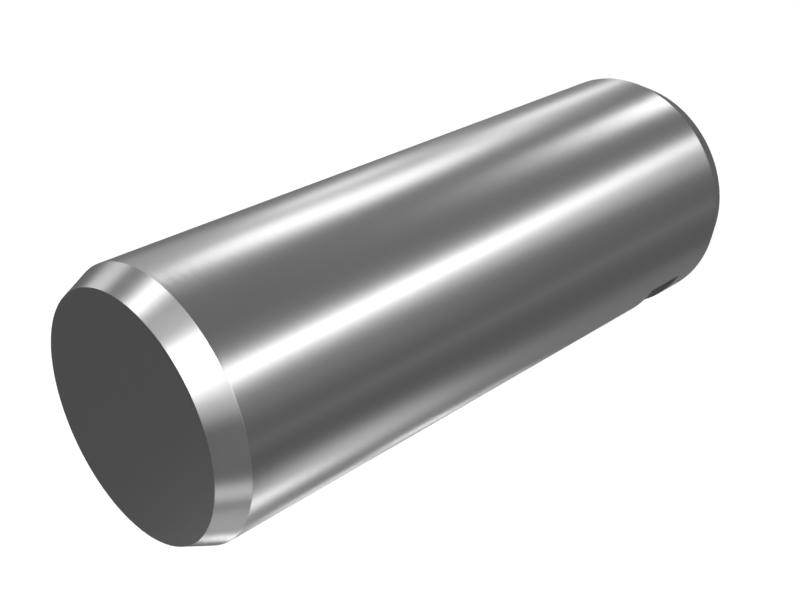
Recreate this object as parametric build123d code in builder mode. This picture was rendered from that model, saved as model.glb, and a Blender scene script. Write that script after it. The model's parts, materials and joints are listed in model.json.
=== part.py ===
from build123d import *
import os
from math import radians, tan

# Link pin: one solid bar of steel, turned and ground, with a bevel round each end and a keeper slot
# milled across one side. It stands upright on its slotted end, with the plain end on top.
# Millimetres. +Z runs up the pin's axis, the origin is the middle of the lower end face, and the slot
# opens towards -X.

# The shank is the ground surface that runs in the link's bores. The length is over both end faces.
pin_diameter = 40
pin_length = 110

# The same bevel leads each end into its bore. Its depth is how far it reaches in from the shank
# towards the axis, and its angle is its slope against the axis.
bevel_depth = 2
bevel_angle = 25

# The slot takes the edge of a keeper plate, which stops the pin from turning and from coming out.
# Its width is measured along the pin, and its depth from the crown of the shank to the flat floor.
slot_width = 8
slot_depth = 10.8

# The solid steel left between the slot and the lower end face, which carries the plate's thrust.
slot_to_end = 10

# How far the milling cutter runs past the bar on every open side of the slot.
cutter_overrun = 2

pin_radius = pin_diameter / 2
bevel_length = bevel_depth / tan(radians(bevel_angle))
slot_floor_x = slot_depth - pin_radius

with BuildPart() as link_pin:
    # the bar
    with BuildSketch() as bar_section:
        Circle(pin_radius)
    extrude(amount=pin_length)

    # the two bevels, longer along the shank than across the end face
    shank = link_pin.faces().filter_by(GeomType.CYLINDER)[0]
    rims = link_pin.edges().filter_by(GeomType.CIRCLE)
    chamfer(rims, length=bevel_length, length2=bevel_depth, reference=shank)

    # the keeper slot, drawn from the side as the cutter's cross-section and swept straight across
    with BuildSketch(Plane.XZ) as cutter_section:
        with Locations((slot_floor_x, slot_to_end)):
            Rectangle(slot_depth + cutter_overrun, slot_width, align=(Align.MAX, Align.MIN))
    extrude(amount=pin_radius + cutter_overrun, both=True, mode=Mode.SUBTRACT)

link_pin.part.label = "link_pin"

os.makedirs("parts", exist_ok=True)
export_step(link_pin.part, "parts/link_pin.step")
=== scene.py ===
# %% [markdown]
# # A link pin in ground steel
#
# A link pin joins two links as a hinge pin joins two leaves. This one is a plain steel bar, 40 mm thick
# and 110 mm long, with a bevel round each end and a slot near one end for the plate that keeps it in.
# We load the engineer's solid as a fixed frame, model the visible pin over it with Blender's own mesh
# tools, give each machined surface its own steel, and light it in a small white studio.

import json
from math import cos, pi, radians, sin, tan

import bpy
from mathutils import Matrix, Vector


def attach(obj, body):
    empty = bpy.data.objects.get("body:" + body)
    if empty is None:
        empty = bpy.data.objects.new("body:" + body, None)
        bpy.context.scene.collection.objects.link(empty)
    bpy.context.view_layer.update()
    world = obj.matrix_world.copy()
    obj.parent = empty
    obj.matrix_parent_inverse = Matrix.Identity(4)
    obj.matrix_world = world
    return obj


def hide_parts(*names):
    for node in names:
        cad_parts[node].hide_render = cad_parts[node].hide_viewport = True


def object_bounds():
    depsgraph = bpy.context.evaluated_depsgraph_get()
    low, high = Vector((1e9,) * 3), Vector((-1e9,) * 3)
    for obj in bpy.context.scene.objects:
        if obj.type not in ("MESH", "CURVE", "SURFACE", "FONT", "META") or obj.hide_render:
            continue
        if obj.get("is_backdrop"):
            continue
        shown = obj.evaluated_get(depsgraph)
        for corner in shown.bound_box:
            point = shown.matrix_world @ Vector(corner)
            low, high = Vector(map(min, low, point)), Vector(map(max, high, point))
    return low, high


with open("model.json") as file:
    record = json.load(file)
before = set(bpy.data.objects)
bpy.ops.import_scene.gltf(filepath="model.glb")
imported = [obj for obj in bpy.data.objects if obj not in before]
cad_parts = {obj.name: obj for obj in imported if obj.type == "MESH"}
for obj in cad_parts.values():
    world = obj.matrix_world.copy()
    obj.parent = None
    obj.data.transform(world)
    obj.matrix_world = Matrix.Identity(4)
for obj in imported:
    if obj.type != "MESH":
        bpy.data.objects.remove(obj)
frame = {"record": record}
cad_low, cad_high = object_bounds()
print("the solid's box in mm:", [round(1000 * side, 1) for side in cad_high - cad_low])

# %% [markdown]
# The box of the solid gives the pin's radius and length, and the mounts in its record give the slot.
# Those sizes are read and not typed, so the visible pin can't drift away from the solid. The bevel is
# typed further down, because no mount holds its angle.

# %% Sizes that the frame holds
pin_radius = (cad_high.x - cad_low.x) / 2
pin_length = cad_high.z - cad_low.z
pin_middle = Vector((0, 0, pin_length / 2))
mounts = {mount["name"]: mount for mount in frame["record"]["mounts"]}
print("radius in mm:", round(1000 * pin_radius, 2), "and length:", round(1000 * pin_length, 2))

# %% [markdown]
# ## The camera
#
# The photograph shows the pin level. It points away to the right at 45 degrees, and the camera looks
# down on it by 28.5 degrees. Our pin stands upright on its slotted end instead, because that is how it
# rests by itself. So the camera is turned with it: the picture's up is the pin's +X, the side opposite
# the slot, and the picture's depth runs down the pin. Three plain directions say that, and the cross
# product of right and look gives the camera its up. The place and the lens were fitted, until the pin's
# outline fell on the photograph's.

# %% Camera
view_down = radians(28.5)
view_turn = radians(45)
picture_up = Vector((1, 0, 0))
away_along_pin = Vector((0, 0, -1))
away_across_pin = Vector((0, 1, 0))

heading = cos(view_turn) * away_along_pin + sin(view_turn) * away_across_pin
camera_right = sin(view_turn) * away_along_pin - cos(view_turn) * away_across_pin
camera_look = cos(view_down) * heading - sin(view_down) * picture_up
camera_up = camera_right.cross(camera_look)
camera_place = Vector((0.09013, -0.11937, 0.17991))
film_width_mm = 36
lens_mm = 56.27
nearest_seen = 0.01

camera_data = bpy.data.cameras.new("camera")
camera_data.sensor_width = film_width_mm
camera_data.lens = lens_mm
camera_data.clip_start = nearest_seen
camera = bpy.data.objects.new("camera", camera_data)
bpy.context.scene.collection.objects.link(camera)
camera_turn = Matrix((camera_right, camera_up, -camera_look)).transposed()
camera.matrix_world = Matrix.Translation(camera_place) @ camera_turn.to_4x4()
bpy.context.scene.camera = camera
print("camera to the pin's middle in mm:", round(1000 * (camera_place - pin_middle).length))

# %% [markdown]
# ## Selecting without a mouse
#
# An operator acts on whatever is selected, so two small helpers start each step from nothing and pick
# faces by a rule in place of a mouse. A rule here often asks which way a face looks. A normal has
# length 1, so a face looks straight along an axis when that part of its normal is close to 1.

# %% Helpers for selecting
straight = 0.99


def start_from_nothing_selected():
    if bpy.context.object and bpy.context.object.mode != "OBJECT":
        bpy.ops.object.mode_set(mode="OBJECT")
    bpy.ops.object.select_all(action="DESELECT")


def select_faces(piece, wanted):
    """Leaves the piece in edit mode, with the faces that wanted() picks as the only ones selected."""
    bpy.ops.object.mode_set(mode="EDIT")
    bpy.ops.mesh.select_mode(type="FACE")
    bpy.ops.mesh.select_all(action="DESELECT")
    bpy.ops.object.mode_set(mode="OBJECT")
    for face in piece.data.polygons:
        face.select = wanted(face)
    bpy.ops.object.mode_set(mode="EDIT")


# %% [markdown]
# ## The bar
#
# The real pin starts as a sawn bar in a lathe. A finished pin could be one revolved outline, but we
# follow the lathe instead: a cylinder for the shank, then each end face is pulled out and scaled in,
# which leaves the bevel between. The bevel is long and slight, 25 degrees to the axis, so that it
# leads the pin into its bore. 256 sides keep the outline and the reflections round.

# %% Turn the bar
sides_round = 256
bevel_depth = 0.002
bevel_angle = radians(25)
bevel_length = bevel_depth / tan(bevel_angle)
shank_length = pin_length - 2 * bevel_length
end_scale = (pin_radius - bevel_depth) / pin_radius

start_from_nothing_selected()
bpy.ops.mesh.primitive_cylinder_add(
    vertices=sides_round,
    radius=pin_radius,
    depth=shank_length,
    location=pin_middle,
)
pin = bpy.context.object
pin.name = "ground_pin"
bpy.ops.object.transform_apply(location=True)

for side in (1, -1):
    select_faces(pin, lambda face: face.normal.z * side > straight)
    bpy.ops.mesh.extrude_region_move(TRANSFORM_OT_translate={"value": (0, 0, side * bevel_length)})
    bpy.ops.transform.resize(value=(end_scale, end_scale, 1), center_override=pin_middle)
bpy.ops.object.mode_set(mode="OBJECT")
print("shank in mm:", round(1000 * shank_length, 1), "frame says:", mounts["shank"]["dims"]["length_mm"])

# %% [markdown]
# ## The keeper slot
#
# A plate slides into this slot and stops the pin from turning and from coming out. It is milled
# straight across the bar, and we do as the milling cutter does: a box with the cutter's section is run
# across the pin and taken away with a Boolean modifier. Cutting the same notch by moving points would
# leave the round side ragged where the flat floor meets it.
#
# One mount marks the middle of the slot's floor and the other its low wall, so the step between the two
# is half the slot's width.

# %% Mill the slot
slot_floor_x, _, slot_middle_z = mounts["keeper_slot_floor"]["pos_m"]
slot_low_z = mounts["keeper_slot_end_wall"]["pos_m"][2]
slot_width = 2 * (slot_middle_z - slot_low_z)
cutter_reach = 2 * pin_radius

start_from_nothing_selected()
bpy.ops.mesh.primitive_cube_add(size=1)
cutter = bpy.context.object
cutter.name = "slot_cutter"
cutter.scale = (cutter_reach, 2 * cutter_reach, slot_width)
cutter.location = (slot_floor_x - cutter_reach / 2, 0, slot_middle_z)
bpy.ops.object.transform_apply(location=True, scale=True)

start_from_nothing_selected()
pin.select_set(True)
bpy.context.view_layer.objects.active = pin
mill = pin.modifiers.new("mill", "BOOLEAN")
mill.operation = "DIFFERENCE"
mill.solver = "EXACT"
mill.object = cutter
bpy.ops.object.modifier_apply(modifier=mill.name)
bpy.data.objects.remove(cutter)
slot_depth = pin_radius + slot_floor_x
print("slot in mm:", round(1000 * slot_width, 1), "wide and", round(1000 * slot_depth, 1), "deep")

# %% [markdown]
# ## Three kinds of cut
#
# Three machines have touched the steel, and each leaves its own marks: the grinder on the shank, the
# lathe on the bevels and the end faces, and the milling cutter in the slot. The faces are sorted now,
# while there are few of them and each kind is plain to tell from its place and normal. The edges that
# are broken later take the steel of the faces beside them.

# %% Sort the faces by machine
ground, turned, milled = range(3)
hair = 0.00001
tilted = 0.1


def machine_of(face):
    between_the_ends = hair < face.center.z < pin_length - hair
    slot_wall = between_the_ends and abs(face.normal.z) > straight
    slot_floor = abs(face.center.x - slot_floor_x) < hair and face.normal.x < -straight
    if slot_wall or slot_floor:
        return milled
    return turned if abs(face.normal.z) > tilted else ground


for steel_name in ("ground_steel", "turned_steel", "milled_steel_with_painted_shade"):
    pin.data.materials.append(bpy.data.materials.new(steel_name))
ground_steel, turned_steel, milled_steel_with_painted_shade = pin.data.materials
for face in pin.data.polygons:
    face.material_index = machine_of(face)
kinds = [face.material_index for face in pin.data.polygons]
print("ground, turned and milled faces:", [kinds.count(kind) for kind in (ground, turned, milled)])

# %% [markdown]
# ## Broken edges
#
# Every edge of a machined part is broken a little, or it would cut a hand. Here that is only a hair,
# because the photograph shows the rims almost sharp. A Bevel modifier does all the rims and the slot at
# once. Its hardened normals keep the broad faces flat and let the narrow strip alone turn the corner.

# %% Break the edges
edge_break = 0.00004
steps_round_an_edge = 3
sharp = radians(15)

breaks = pin.modifiers.new("edge_break", "BEVEL")
breaks.width = edge_break
breaks.segments = steps_round_an_edge
breaks.limit_method = "ANGLE"
breaks.angle_limit = sharp
breaks.harden_normals = True
bpy.ops.object.shade_smooth()
bpy.ops.object.modifier_apply(modifier=breaks.name)
print("finished pin:", len(pin.data.polygons), "faces")

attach(pin, "root")
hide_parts("link_pin")

# %% [markdown]
# ## Steel and its marks
#
# Bare steel has hardly a colour of its own, and nearly all of its look is in how it shines. So the metal
# is fully metallic, and the marks of each machine go into the bump, the roughness and a slight unevenness
# of the grey.
#
# A machining mark is thin across and long along its direction. Noise has neither, so we squeeze the
# coordinates across the mark and stretch them along it before the noise reads them. The marks are only
# a few thousandths of a millimetre high. In a close view they draw faint lines across a highlight, and
# from further off the pin looks as smooth as in the photograph.
#
# All the roughness stays above 0.274. Below that value Cycles takes the steel for a mirror and tells its
# denoiser what the mirror shows, above it what the steel is like. Marks that swing across the value
# would confuse the denoiser, and it would leave grain and streaks that look like scratches.
#
# Metal turns whiter where it is seen at a glancing angle. Specular Tint holds that back, or the pin's
# lowest and rearmost edges would shine brighter than they do in the photograph.

# %% Helpers for steel
grey_unevenness = 0.004
glancing_tint = (0.7, 0.7, 0.7, 1)
noise_low = 0.3
noise_high = 0.7


def ranged(tree, value, low, high):
    """Noise stays mostly between its own low and high, and that stretch is spread over these two."""
    spread = tree.nodes.new("ShaderNodeMapRange")
    spread.inputs["From Min"].default_value = noise_low
    spread.inputs["From Max"].default_value = noise_high
    spread.inputs["To Min"].default_value = low
    spread.inputs["To Max"].default_value = high
    tree.links.new(value, spread.inputs["Value"])
    return spread.outputs["Result"]


def mark_steel(steel, squeezed, grey, height, smooth, rough):
    """Bare metal of that grey with marks of that height, and a roughness between the two values."""
    tree = steel.node_tree
    shader = tree.nodes["Principled BSDF"]
    shader.inputs["Metallic"].default_value = 1
    shader.inputs["Specular Tint"].default_value = glancing_tint
    noise = tree.nodes.new("ShaderNodeTexNoise")
    noise.inputs["Scale"].default_value = 1
    noise.inputs["Detail"].default_value = 1
    tree.links.new(squeezed, noise.inputs["Vector"])
    marks = noise.outputs["Fac"]
    base = ranged(tree, marks, grey - grey_unevenness, grey + grey_unevenness)
    tree.links.new(base, shader.inputs["Base Color"])
    tree.links.new(ranged(tree, marks, smooth, rough), shader.inputs["Roughness"])
    bump = tree.nodes.new("ShaderNodeBump")
    bump.inputs["Distance"].default_value = height
    tree.links.new(marks, bump.inputs["Height"])
    tree.links.new(bump.outputs["Normal"], shader.inputs["Normal"])


def squeeze(steel, x, y, z):
    """Object coordinates counted in marks: one unit is one mark's size, given in metres."""
    steel.use_nodes = True
    tree = steel.node_tree
    place = tree.nodes.new("ShaderNodeTexCoord")
    mapping = tree.nodes.new("ShaderNodeMapping")
    mapping.inputs["Scale"].default_value = (1 / x, 1 / y, 1 / z)
    tree.links.new(place.outputs["Object"], mapping.inputs["Vector"])
    return mapping.outputs["Vector"]


# %% [markdown]
# The grinder's wheel runs round the shank, so its marks are short arcs: half a millimetre wide along
# the pin and a few millimetres long round it. X and Y both lie across the axis, so stretching the two
# alike makes an arc with no need for an angle.

# %% Ground steel for the shank
arc_width = 0.0005
arc_length = 0.003

arcs = squeeze(ground_steel, arc_length, arc_length, arc_width)
mark_steel(ground_steel, arcs, grey=0.56, height=0.00001, smooth=0.275, rough=0.279)
print("ground marks in mm:", 1000 * arc_width, "by", 1000 * arc_length)

# %% [markdown]
# The lathe's tool leaves rings round the axis. On the end faces they lie at growing radius, and on the
# bevels they climb with it, so one rule does for both: the radius is squeezed, and X and Y are
# stretched far enough that a ring changes only slowly on its way round.

# %% Turned steel for the bevels and the end faces
ring_width = 0.0003
ring_length = 0.01

stretched = squeeze(turned_steel, ring_length, ring_length, ring_length)
tree = turned_steel.node_tree
across = tree.nodes.new("ShaderNodeVectorMath")
across.operation = "MULTIPLY"
across.inputs[1].default_value = (1, 1, 0)
tree.links.new(stretched, across.inputs[0])
radius = tree.nodes.new("ShaderNodeVectorMath")
radius.operation = "LENGTH"
tree.links.new(across.outputs["Vector"], radius.inputs[0])
ring = tree.nodes.new("ShaderNodeMath")
ring.operation = "MULTIPLY"
ring.inputs[1].default_value = ring_length / ring_width
tree.links.new(radius.outputs["Value"], ring.inputs[0])
split = tree.nodes.new("ShaderNodeSeparateXYZ")
tree.links.new(stretched, split.inputs[0])
rings = tree.nodes.new("ShaderNodeCombineXYZ")
tree.links.new(split.outputs["X"], rings.inputs["X"])
tree.links.new(split.outputs["Y"], rings.inputs["Y"])
tree.links.new(ring.outputs["Value"], rings.inputs["Z"])
mark_steel(turned_steel, rings.outputs["Vector"], grey=0.56, height=0.000004, smooth=0.275, rough=0.279)
print("rings across an end face:", round((pin_radius - bevel_depth) / ring_width))

# %% [markdown]
# The milling cutter travels straight across the pin, along Y, and its marks in the slot follow it. This
# steel is a little rougher than the rest, because nothing runs on it and rubs it bright. Its grey is
# darker as well, and that is painted shade: it stands in for the shade that falls on the walls and floor
# inside the slot.

# %% Milled steel for the slot
pass_width = 0.0004
pass_length = 0.006

passes = squeeze(milled_steel_with_painted_shade, pass_width, pass_length, pass_width)
# The grey of 0.44, darker than the 0.56 of the other steels, is painted shade for the inside of the slot.
# The marks, bump and roughness are the real milled finish.
mark_steel(milled_steel_with_painted_shade, passes, grey=0.44, height=0.00002, smooth=0.28, rough=0.31)
print("cutter passes across the slot:", round(slot_width / pass_width))

# %% [markdown]
# ## The floor
#
# The pin stands on white paper. The photograph's ground is pure white and nothing of it shows in the
# steel, so the paper is hidden from the steel's reflections, where the softboxes take its place. A lamp
# of its own, straight above and set to throw no shadow, makes it white. So the only shade is the faint
# one at the pin's foot, where the pin hides some of the sky. Most softboxes stand lower than the paper,
# so it casts no shadow either and lets their light through.

# %% Floor
paper_side = 6
paper_white = 0.9
paper_light = 2.7

start_from_nothing_selected()
bpy.ops.mesh.primitive_plane_add(size=paper_side)
floor = bpy.context.object
floor.name = "floor"
floor.visible_glossy = False
floor.visible_shadow = False

paper = bpy.data.materials.new("white_paper")
paper.use_nodes = True
paper_shader = paper.node_tree.nodes["Principled BSDF"]
paper_shader.inputs["Base Color"].default_value = (paper_white, paper_white, paper_white, 1)
paper_shader.inputs["Roughness"].default_value = 1
floor.data.materials.append(paper)
floor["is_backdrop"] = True

paper_lamp_data = bpy.data.lights.new("paper_lamp", "SUN")
paper_lamp_data.energy = paper_light
paper_lamp_data.use_shadow = False
paper_lamp = bpy.data.objects.new("paper_lamp", paper_lamp_data)
bpy.context.scene.collection.objects.link(paper_lamp)
paper_lamp.visible_glossy = False
print("floor side in m:", floor.dimensions.x)

# %% [markdown]
# ## The studio
#
# Polished round steel shows no colour of its own, only what stands around it. Each bright band on the
# pin is the reflection of one softbox or a few, so the lighting is a matter of setting panels where the
# mirror directions point. A softbox is an area light that faces the pin from three metres away. Its
# place is an azimuth, from the pin's +X towards +Y, and an elevation. Its size is the angle that it
# fills. Its power grows with its area, so glow is its brightness whatever its size. Lean turns the
# panel about its own middle.
#
# The panels light the steel alone. The paper has its lamp, which keeps it free of their hard shadows.
#
# The panels' places and sizes were tried one by one, and their glows were balanced by measuring. Light
# adds up, so each panel was rendered alone, and the glows are those whose sum comes closest to the greys
# of the photograph, rounded off. The greys of the room further down were found in the same way.

# %% Softbox helper
panel_distance = 3


def softbox(name, azimuth, elevation, width, height, lean, glow):
    """One panel of light, with all its angles in degrees as seen from the pin's middle."""
    a, e = radians(azimuth), radians(elevation)
    towards = Vector((cos(a) * cos(e), sin(a) * cos(e), sin(e)))
    data = bpy.data.lights.new(name, "AREA")
    data.shape = "RECTANGLE"
    data.size = 2 * panel_distance * tan(radians(width / 2))
    data.size_y = 2 * panel_distance * tan(radians(height / 2))
    data.energy = glow * pi * data.size * data.size_y
    light = bpy.data.objects.new(name, data)
    bpy.context.scene.collection.objects.link(light)
    facing = towards.to_track_quat("Z", "Y").to_matrix().to_4x4()
    leaning = Matrix.Rotation(radians(lean), 4, "Z")
    light.matrix_world = Matrix.Translation(pin_middle + panel_distance * towards) @ facing @ leaning
    light.visible_camera = False
    light.visible_diffuse = False
    print("panel", name, "in m:", round(data.size, 2), "by", round(data.size_y, 2))


# %% [markdown]
# The long white band down the middle of the pin is one tall, very narrow strip, the key. It is broadest
# near the end face, so a wider piece is laid over its upper part, and a dim skirt softens both edges.
# The foot is low down and carries the band's soft edge on to the slotted end.

# %% Key light
softbox("key", -57, -25, 5, 74, 17, 3.7)
softbox("key_core", -57, -22, 9, 44, 17, 1.6)
softbox("key_skirt", -60, -27, 17, 50, 5, 0.27)
softbox("key_foot", -60, -50, 14, 16, 0, 0.27)

# %% [markdown]
# The bevel leans back, so it looks over the key at panels that the shank doesn't show from here. Three of
# them, left, middle and right, run together into its broad white patch. The skirt and the gap give the
# greys beside that patch, and the upper panel is its second, shorter white one.

# %% Bevel lights
softbox("bevel_left", -55, 27, 14, 16, 10, 2.4)
softbox("bevel_middle", -44, 25, 10, 10, 0, 4.3)
softbox("bevel_right", -28, 22, 22, 10, 0, 4.8)
softbox("bevel_skirt", -70, 8, 30, 50, -25, 0.6)
softbox("bevel_gap", -5, 16, 24, 16, 0, 0.7)
softbox("bevel_upper", 26, 13, 11, 47, 26, 3.2)

# %% [markdown]
# The upper band is brightest in the middle of the pin and fades to grey towards the end face, so it is a
# short panel with dim ones about it, one a little to the side and one taller. The white patch at the
# slotted end comes from low down. The grey band on the pin's back edge comes from a tall panel at the
# side, with one piece low and one high where the band is lighter.

# %% Upper bands
softbox("upper", 43, -36, 15, 15, -15, 2.2)
softbox("upper_side", 46, -39, 14, 16, -15, 0.38)
softbox("upper_tall", 43, -38, 10, 26, -15, 0.15)
softbox("upper_skirt", 27, -26, 14, 16, 0, 0.16)
softbox("far_upper", 15, -57, 10, 12, 25, 4.8)
softbox("back_edge", 67, -45, 9, 22, -18, 0.72)
softbox("back_edge_low", 66, -49, 8, 7, 0, 2)
softbox("back_edge_high", 72, -37, 10, 8, 0, 0.98)
softbox("back_edge_skirt", 68, -26, 32, 27, -11, 0.38)
softbox("back_edge_bevel", 72, 1, 24, 15, -8, 1.3)

# %% [markdown]
# Under the pin a weaker band runs from the bevel and dies out half way along. It is narrow and bright near
# the bevel, so its panel is small, and broader, dimmer ones carry it on. A thin line follows it on the
# lowest edge, where the steel is seen at a glancing angle. That line stops short of the slotted end, so
# the rim panels reach no lower than they have to.

# %% Lower bands
softbox("lower", -165, -25, 9, 10, 0, 2)
softbox("lower_middle", -158, -33, 16, 8, 0, 0.53)
softbox("lower_wide", -158, -31, 30, 14, 0, 0.28)
softbox("lower_far", 178, -46, 36, 20, 0, 0.12)
softbox("lower_skirt", -167, -8, 28, 43, 24, 0.54)
softbox("lower_bevel", -141, 12, 12, 38, -7, 1.1)
softbox("rim", 157, -35, 4, 14, 0, 2.1)
softbox("rim_core", 160, -36, 4, 4, 0, 3.8)
softbox("rim_high", 152, -30, 10, 7, 0, 1.3)
softbox("rim_bevel", 165, -17, 9, 14, -9, 4.8)

# %% [markdown]
# Dim panels finish it. One draws a faint grey band in the dark stretch below the key, one its counterpart
# on the bevel, and one lays a breath of light on the lower half of the end face. The other four lift the
# darkest stretches between the bands.

# %% Dim fills
softbox("faint_band", -112, -32, 5, 60, 0, 0.17)
softbox("faint_bevel", -108, 14, 30, 20, 0, 0.16)
softbox("end_face_fill", 150, 28, 24, 30, 0, 0.32)
softbox("key_fill", -85, -34, 10, 12, 0, 0.13)
softbox("lower_fill", 172, -26, 14, 8, 0, 0.22)
softbox("back_fill_high", 96, -30, 20, 20, 0, 0.044)
softbox("back_fill_low", 88, -46, 16, 16, 0, 0.093)

# %% [markdown]
# The world plays two parts. To the camera it is an even white sky, which reaches the paper only dimly,
# as the lamp does the rest. To the steel it is a dim grey room, a little lighter below than above, which
# gives the dark stretches between the bands their depth. The Light Path node tells who is looking, and
# the direction's dot product with the room's bright side grades the grey. Neither part has a bright spot
# to aim at, so the world isn't sampled as a light.

# %% World
sky_seen = 1.05
sky_on_paper = 0.35
room_bright_side = (0.34, 0.5, -0.8)
room_dark = 0.055
room_bright = 0.223

world = bpy.data.worlds.new("studio")
bpy.context.scene.world = world
world.use_nodes = True
world.cycles.sampling_method = "NONE"
tree = world.node_tree
tree.nodes.clear()

path = tree.nodes.new("ShaderNodeLightPath")
sky_strength = tree.nodes.new("ShaderNodeMapRange")
sky_strength.inputs["To Min"].default_value = sky_on_paper
sky_strength.inputs["To Max"].default_value = sky_seen
tree.links.new(path.outputs["Is Camera Ray"], sky_strength.inputs["Value"])
sky = tree.nodes.new("ShaderNodeBackground")
sky.inputs["Color"].default_value = (1, 1, 1, 1)
tree.links.new(sky_strength.outputs["Result"], sky.inputs["Strength"])

direction = tree.nodes.new("ShaderNodeTexCoord")
towards_bright = tree.nodes.new("ShaderNodeVectorMath")
towards_bright.operation = "DOT_PRODUCT"
towards_bright.inputs[1].default_value = room_bright_side
tree.links.new(direction.outputs["Generated"], towards_bright.inputs[0])
grade = tree.nodes.new("ShaderNodeMapRange")
grade.inputs["From Min"].default_value = -1
grade.inputs["From Max"].default_value = 1
grade.inputs["To Min"].default_value = room_dark
grade.inputs["To Max"].default_value = room_bright
tree.links.new(towards_bright.outputs["Value"], grade.inputs["Value"])
room = tree.nodes.new("ShaderNodeBackground")
room.inputs["Color"].default_value = (1, 1, 1, 1)
tree.links.new(grade.outputs["Result"], room.inputs["Strength"])

mix = tree.nodes.new("ShaderNodeMixShader")
output = tree.nodes.new("ShaderNodeOutputWorld")
tree.links.new(path.outputs["Is Glossy Ray"], mix.inputs["Fac"])
tree.links.new(sky.outputs[0], mix.inputs[1])
tree.links.new(room.outputs[0], mix.inputs[2])
tree.links.new(mix.outputs[0], output.inputs["Surface"])
print("room greys, dark and bright:", room_dark, room_bright)

# %% [markdown]
# The greys above are meant as they stand, so the picture uses the plain Standard view. Blender's usual
# filmic view would pull the whites down and turn the paper grey.

# %% View transform
bpy.context.scene.view_settings.view_transform = "Standard"
print("view transform:", bpy.context.scene.view_settings.view_transform)

# %% [markdown]
# ## Finish
#
# The visible pin has to fill the solid's box and no more, so its growth past that box is measured and
# printed.

# %% Compare the boxes and finish
visual_low, visual_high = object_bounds()
growth = [1000 * max(cad_low[i] - visual_low[i], visual_high[i] - cad_high[i]) for i in range(3)]
print("growth past the solid's box in mm:", [round(side, 3) for side in growth])
